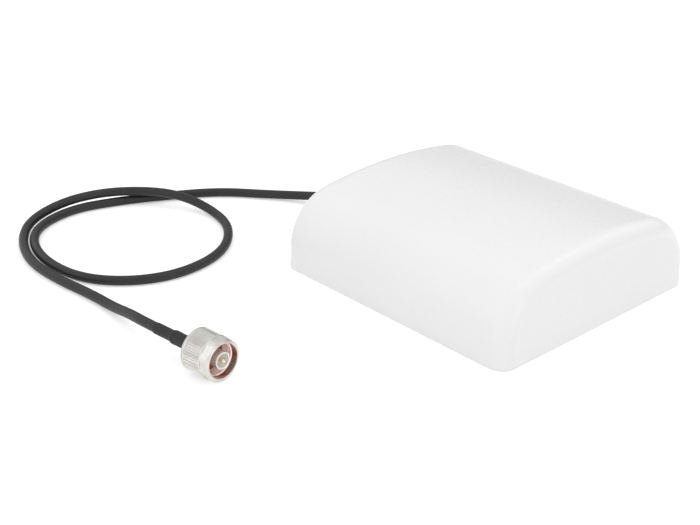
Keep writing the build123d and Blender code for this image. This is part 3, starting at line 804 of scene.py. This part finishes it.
# Coupling nut: turned from brass bar and nickel-plated, with a rolled diamond knurl between two
# lands, eight flats milled on its collar and a 5/8-24 thread behind a plain mouth.
nut_sides = 320
nut_radius = 0.01025
nut_length = 0.0172
land_chamfer = 0.0004
step_chamfer = 0.00032
knurl_floor = 0.00998
knurl_from = -0.01645
knurl_to = -0.00555
knurl_runout = 0.0001
knurl_count = 84
knurl_slant = math.radians(30)
diamond_root = knurl_floor - 0.00004
diamond_crest = nut_radius - 0.00003
diamond_top = 0.6
collar_length = 0.005
collar_radius = 0.0101
collar_apothem = 0.00968
collar_flats = 8
narrowest_flat = math.radians(0.4)
bevel_rings = 14
bevel_width = 0.00105
bevel_length = 0.0009
bevel_land = 0.00005
front_face_radius = 0.00894
mouth_chamfer = 0.0002
mouth_radius = 0.0083
mouth_end_radius = 0.00808
mouth_depth = 0.0034
lead_radius = 0.0076
lead_from = -0.0038
lead_to = -0.004
thread_wall = 0.00795
thread_wall_from = -0.0043
thread_crest = 0.0075
thread_pitch = 0.0254 / 24
thread_from = -0.0042
thread_end = -0.0104
relief_radius = 0.00805
relief_from = -0.0105
nut_wall = -0.013
nut_bore = 0.00587
snap_groove = 0.00635
snap_groove_from = -0.0146
snap_groove_to = -0.0156
knurl_colours = ((0.73, 0.715, 0.685), (0.79, 0.775, 0.75))
# The knurl's colour darkens from its crests down to its roots: painted shade in the grooves.
painted_shade_ends = nut_radius - 0.00006
groove_painted_shade = 0.55
# The bore's nickel is tinted pink: painted reflection of the red gasket, on top of the nickel's own
# colour.
bore_nickel_with_painted_red = ((0.82, 0.66, 0.61), (0.88, 0.73, 0.68))


def collar_ring(radius, height):
    """A ring of that radius, cut by the collar's flats, with points on the edges of each flat."""
    pitch = 2 * math.pi / collar_flats
    half_flat = max(math.acos(min(collar_apothem / radius, 1.0)), narrowest_flat)
    steps = nut_sides // collar_flats // 2
    points = []
    for flat in range(collar_flats):
        middle = flat * pitch
        for i in range(2 * steps):
            if i < steps:
                off = half_flat * (2 * i / steps - 1)
                r = min(radius, collar_apothem / math.cos(off))
            else:
                off = half_flat + (pitch - 2 * half_flat) * (i - steps) / steps
                r = radius
            angle = middle + off
            points.append(Vector((r * math.cos(angle), r * math.sin(angle), height)))
    return points


def ring_on(pattern, radius, height):
    """A round ring whose points stand at the same angles as another ring's."""
    return [Vector((*(point.xy.normalized() * radius), height)) for point in pattern]


def chamfer_end(radius):
    """Where the chamfer in front of the knurl ends: at its step, or on a corner of the collar."""
    points = []
    for corner in collar_ring(collar_radius, -collar_length):
        r = max(corner.xy.length, radius)
        points.append(Vector((*(corner.xy.normalized() * r), -collar_length - (r - radius))))
    return points


nut_section = [
    (nut_radius - land_chamfer, -nut_length),
    (nut_radius, -nut_length + land_chamfer),
    (nut_radius, knurl_from - knurl_runout),
    (knurl_floor, knurl_from),
    (knurl_floor, knurl_to),
    (nut_radius, knurl_to + knurl_runout),
    (nut_radius, -collar_length - step_chamfer),
]
mouth_section = [
    (mouth_radius + mouth_chamfer, 0.0),
    (mouth_radius, -mouth_chamfer),
    (mouth_end_radius, -mouth_depth),
    (lead_radius, lead_from),
    (lead_radius, lead_to),
    (thread_wall, thread_wall_from),
    (thread_wall, thread_end),
    (relief_radius, relief_from),
    (relief_radius, nut_wall),
    (nut_bore, nut_wall),
    (nut_bore, snap_groove_from),
    (snap_groove, snap_groove_from),
    (snap_groove, snap_groove_to),
    (nut_bore, snap_groove_to),
]
# Nut's mouth and thread: nickel with the gasket's red reflection painted into its colour.
bore_nickel = turned_metal(
    "bore_nickel", bore_nickel_with_painted_red, gloss=(0.12, 0.22), rings=9000, depth=0.000002
)
collar_edges = collar_ring(collar_radius, -collar_length)
nut_rings = [ring(nut_bore, -nut_length, nut_sides)]
nut_rings += [ring_on(collar_edges, r, s) for r, s in nut_section]
nut_rings += [chamfer_end(nut_radius - step_chamfer), collar_edges]
for i in range(bevel_rings + 1):
    share = i / bevel_rings
    height = -bevel_length * (1 - share) - bevel_land * share
    nut_rings.append(collar_ring(collar_radius - share * bevel_width, height))
nut_rings.append(ring_on(nut_rings[-1], front_face_radius, 0.0))
nut_rings += [ring(r, s, nut_sides) for r, s in mouth_section]
nut_core = rings_to_mesh("nut_core", nut_rings, crease=8.0)
for finish in (nickel_plate, bore_nickel):
    nut_core.data.materials.append(finish)
for face in nut_core.data.polygons:
    corners = [nut_core.data.vertices[i].co for i in face.vertices]
    if all(c.xy.length < mouth_radius + mouth_chamfer / 2 and nut_wall < c.z < 0 for c in corners):
        face.material_index = 1
nut_thread = grow(
    "nut_thread", thread_tree, turns=(thread_from - thread_end) / thread_pitch,
    pitch=thread_pitch, wall_radius=thread_wall, crest_radius=thread_crest, start=thread_end,
    steps_per_turn=96, material=bore_nickel,
)

knurl_tree, given, output = tree_of(
    "diamond_knurl",
    ("Count Around", "NodeSocketInt", 84),
    ("Rows", "NodeSocketInt", 16),
    ("Row Pitch", "NodeSocketFloat", 0.0006),
    ("Start", "NodeSocketFloat", 0.0),
    ("Material", "NodeSocketMaterial", None),
)
knurl_index = shader(knurl_tree, "GeometryNodeInputIndex")
around_points = shader(knurl_tree, "GeometryNodePoints", {"Count": given["Count Around"]})
around_step = shader(knurl_tree, "ShaderNodeMath", {
    0: 2 * math.pi, 1: given["Count Around"],
}, operation="DIVIDE")
around_angle = shader(knurl_tree, "ShaderNodeMath", {
    0: knurl_index.outputs["Index"], 1: around_step.outputs["Value"],
}, operation="MULTIPLY")
around_turn = shader(knurl_tree, "FunctionNodeAxisAngleToRotation", {
    "Axis": (0.0, 0.0, 1.0), "Angle": around_angle.outputs["Value"],
})
around_copies = shader(knurl_tree, "GeometryNodeInstanceOnPoints", {
    "Points": around_points.outputs["Points"],
    "Instance": given["Geometry"],
    "Rotation": around_turn.outputs["Rotation"],
})
row_height = shader(knurl_tree, "ShaderNodeMath", {
    0: knurl_index.outputs["Index"], 1: given["Row Pitch"], 2: given["Start"],
}, operation="MULTIPLY_ADD")
row_place = shader(knurl_tree, "ShaderNodeCombineXYZ", {"Z": row_height.outputs["Value"]})
row_points = shader(knurl_tree, "GeometryNodePoints", {
    "Count": given["Rows"], "Position": row_place.outputs["Vector"],
})
row_odd = shader(knurl_tree, "ShaderNodeMath", {
    0: knurl_index.outputs["Index"], 1: 2.0,
}, operation="MODULO")
row_shift = shader(knurl_tree, "ShaderNodeMath", {
    0: row_odd.outputs["Value"], 1: around_step.outputs["Value"],
}, operation="MULTIPLY")
row_half = shader(knurl_tree, "ShaderNodeMath", {
    0: row_shift.outputs["Value"], 1: 0.5,
}, operation="MULTIPLY")
row_turn = shader(knurl_tree, "FunctionNodeAxisAngleToRotation", {
    "Axis": (0.0, 0.0, 1.0), "Angle": row_half.outputs["Value"],
})
row_copies = shader(knurl_tree, "GeometryNodeInstanceOnPoints", {
    "Points": row_points.outputs["Points"],
    "Instance": around_copies.outputs["Instances"],
    "Rotation": row_turn.outputs["Rotation"],
})
end_tree(knurl_tree, row_copies.outputs["Instances"], given, output)

knurl_nickel = turned_metal(
    "knurl_nickel", knurl_colours, gloss=(0.15, 0.25), rings=9000, depth=0.000002
)
# Painted shade: the knurl's colour is darker towards the roots of its grooves.
shade_by_radius(knurl_nickel, knurl_floor, painted_shade_ends, groove_painted_shade, 1.0)

diamond_angle = 2 * math.pi / knurl_count
diamond_half = diamond_angle * nut_radius / 2 / math.tan(knurl_slant)
knurl_rows = int((knurl_to - knurl_from) / diamond_half) - 1
knurl_start = (knurl_from + knurl_to) / 2 - (knurl_rows - 1) * diamond_half / 2


def diamond_ring(radius, share):
    """The four corners of a diamond's outline at a radius, drawn in to a share of its size."""
    corners = []
    for across, along in ((1, 0), (0, 1), (-1, 0), (0, -1)):
        angle = across * share * diamond_angle / 2
        corners.append(Vector((
            radius * math.cos(angle), radius * math.sin(angle), along * share * diamond_half,
        )))
    return corners


diamond = add_mesh(
    "diamond",
    diamond_ring(diamond_root, 1.0) + diamond_ring(diamond_crest, diamond_top),
    [(3, 2, 1, 0), (4, 5, 6, 7)] + [(i, (i + 1) % 4, 4 + (i + 1) % 4, 4 + i) for i in range(4)],
    crease=5.0,
)
nut_knurl = grow(
    "nut_knurl", knurl_tree, diamond, count_around=knurl_count, rows=knurl_rows,
    row_pitch=diamond_half, start=knurl_start, material=knurl_nickel,
)
knurled_nut = joined("knurled_nut", [nut_core, nut_thread, nut_knurl], plug_place)
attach(knurled_nut, "plug_nut")
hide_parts("coupling_nut")


# Floor and light: a pale table in a white tent, with a long strip light above and behind, and three
# soft boxes for the antenna's walls. The tent has a gap low at the back, which metal reflects.
floor_size = 3.0
floor_level = -0.00002
floor_colours = ((0.89, 0.89, 0.89), (0.9, 0.9, 0.9))
floor_seen_glow = 0.35
tent_light = 0.82
gap_light = 0.28
gap_edge_above = (0.34, 0.42)
gap_edge_before = (0.45, 0.2)
floor_corners = ((-1, -1), (1, -1), (1, 1), (-1, 1))
floor = add_mesh("floor", [
    (x * floor_size, y * floor_size, floor_level) for x, y in floor_corners
], [(0, 1, 2, 3)])
floor_finish, floor_tree, floor_surface = new_finish("floor_card")


def seen_directly(tree, path):
    """1 for rays from the camera and for those that metal and glass send on, and 0 for light."""
    seen = path.outputs["Is Camera Ray"]
    for label in ("Is Glossy Ray", "Is Transmission Ray"):
        seen = shader(tree, "ShaderNodeMath", {
            0: seen, 1: path.outputs[label],
        }, operation="MAXIMUM").outputs["Value"]
    return seen


floor_path = shader(floor_tree, "ShaderNodeLightPath")
floor_seen = seen_directly(floor_tree, floor_path)
floor_strength = shader(floor_tree, "ShaderNodeMath", {
    0: floor_seen, 1: floor_seen_glow,
}, operation="MULTIPLY")
floor_glow = shader(floor_tree, "ShaderNodeEmission", {
    "Color": (1.0, 1.0, 1.0, 1.0), "Strength": floor_strength.outputs["Value"],
})
floor_place = shader(floor_tree, "ShaderNodeTexCoord")
floor_noise = shader(floor_tree, "ShaderNodeTexNoise", {
    "Vector": floor_place.outputs["Object"], "Scale": 3.0,
})
feed(floor_tree, floor_surface, {
    "Base Color": between(floor_tree, floor_noise.outputs["Fac"], *floor_colours),
}, {"Roughness": 0.9, "Specular IOR Level": 0.1})
floor_sum = shader(floor_tree, "ShaderNodeAddShader", {
    0: floor_surface.outputs["BSDF"], 1: floor_glow.outputs["Emission"],
})
floor_end = floor_tree.nodes["Material Output"]
floor_tree.links.new(floor_sum.outputs["Shader"], floor_end.inputs["Surface"])
floor.data.materials.append(floor_finish)

tent = bpy.data.worlds.new("white_tent")
tent.use_nodes = True
scene.world = tent
tent_tree = tent.node_tree
tent_path = shader(tent_tree, "ShaderNodeLightPath")
tent_seen = seen_directly(tent_tree, tent_path)
tent_side = shader(tent_tree, "ShaderNodeTexCoord")
tent_split = shader(tent_tree, "ShaderNodeSeparateXYZ", {"Vector": tent_side.outputs["Generated"]})
outside_gap = shader(tent_tree, "ShaderNodeMath", {
    0: between(tent_tree, tent_split.outputs["Z"], 0.0, 1.0, *gap_edge_above),
    1: between(tent_tree, tent_split.outputs["Y"], 0.0, 1.0, *gap_edge_before),
}, operation="MAXIMUM")
tent_strength = shader(tent_tree, "ShaderNodeMix", {
    0: tent_path.outputs["Is Glossy Ray"],
    2: between(tent_tree, tent_seen, tent_light, 1.0, 0.0, 1.0),
    3: between(tent_tree, outside_gap.outputs["Value"], gap_light, 1.0, 0.0, 1.0),
}, data_type="FLOAT")
tent_background = tent_tree.nodes["Background"]
tent_background.inputs["Color"].default_value = (1.0, 1.0, 1.0, 1.0)
tent_tree.links.new(tent_strength.outputs[0], tent_background.inputs["Strength"])


def soft_box(name, place, aim, width, length, power):
    """A soft box that looks at a point. Its length lies level, across the way it looks."""
    data = bpy.data.lights.new(name, "AREA")
    data.shape = "RECTANGLE"
    data.size = width
    data.size_y = length
    data.energy = power
    lamp = bpy.data.objects.new(name, data)
    lamp.location = place
    lamp.rotation_mode = "QUATERNION"
    lamp.rotation_quaternion = (Vector(aim) - Vector(place)).to_track_quat("-Z", "Y")
    scene.collection.objects.link(lamp)


soft_box(
    "strip_above", place=(0.16, 0.62, 1.1), aim=(0.16, 0.45, 0.0), width=0.2, length=1.95, power=2.9
)
soft_box(
    "left_box", place=(-0.95, -0.4, 0.95), aim=camera_aim, width=1.4, length=1.4, power=0.9
)
soft_box(
    "front_box", place=(-0.35, -1.35, 0.6), aim=camera_aim, width=1.4, length=1.1, power=2.9
)
soft_box(
    "right_box", place=(1.3, -0.05, 0.35), aim=camera_aim, width=0.6, length=0.6, power=1.7
)

scene.view_settings.view_transform = "Standard"
